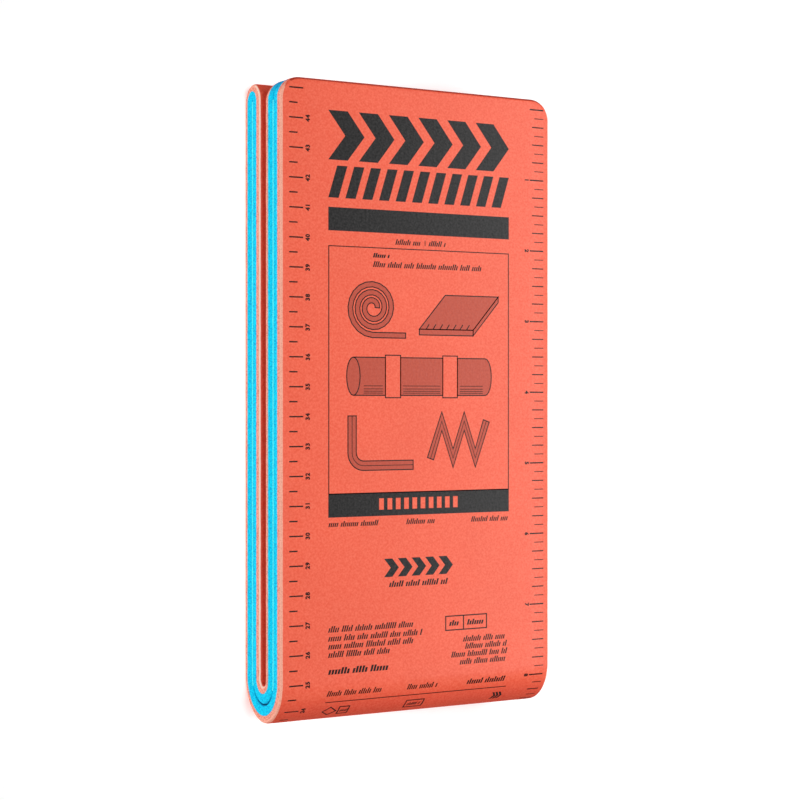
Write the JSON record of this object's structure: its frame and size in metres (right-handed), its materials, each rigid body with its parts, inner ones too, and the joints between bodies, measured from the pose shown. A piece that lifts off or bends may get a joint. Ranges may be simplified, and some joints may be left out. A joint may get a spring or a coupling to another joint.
{
  "type": "aluminium foam splint",
  "caption": "Mouldable padded strip splint with an aluminium core between orange and blue foam, folded flat into two doubled legs, with printed length scales along both edges.",
  "frame": {"origin": "centre of the folded splint's outline, on the outer face of the back leg that it lies on", "axes": "+X across the strip, +Y along the legs from the closed fold to the free ends, +Z out of the printed front face"},
  "size_m": [0.108, 0.218, 0.0284],
  "materials": {
    "orange_foam": "soft closed-cell foam with a fine matt skin and plain dark printed scales",
    "core_metal": "soft rolled sheet",
    "blue_foam": "soft closed-cell foam, matt"
  },
  "bodies": {
    "root": {"orange_foam": "orange_foam", "aluminium_core": "core_metal", "blue_foam": "blue_foam"}
  },
  "joints": []
}
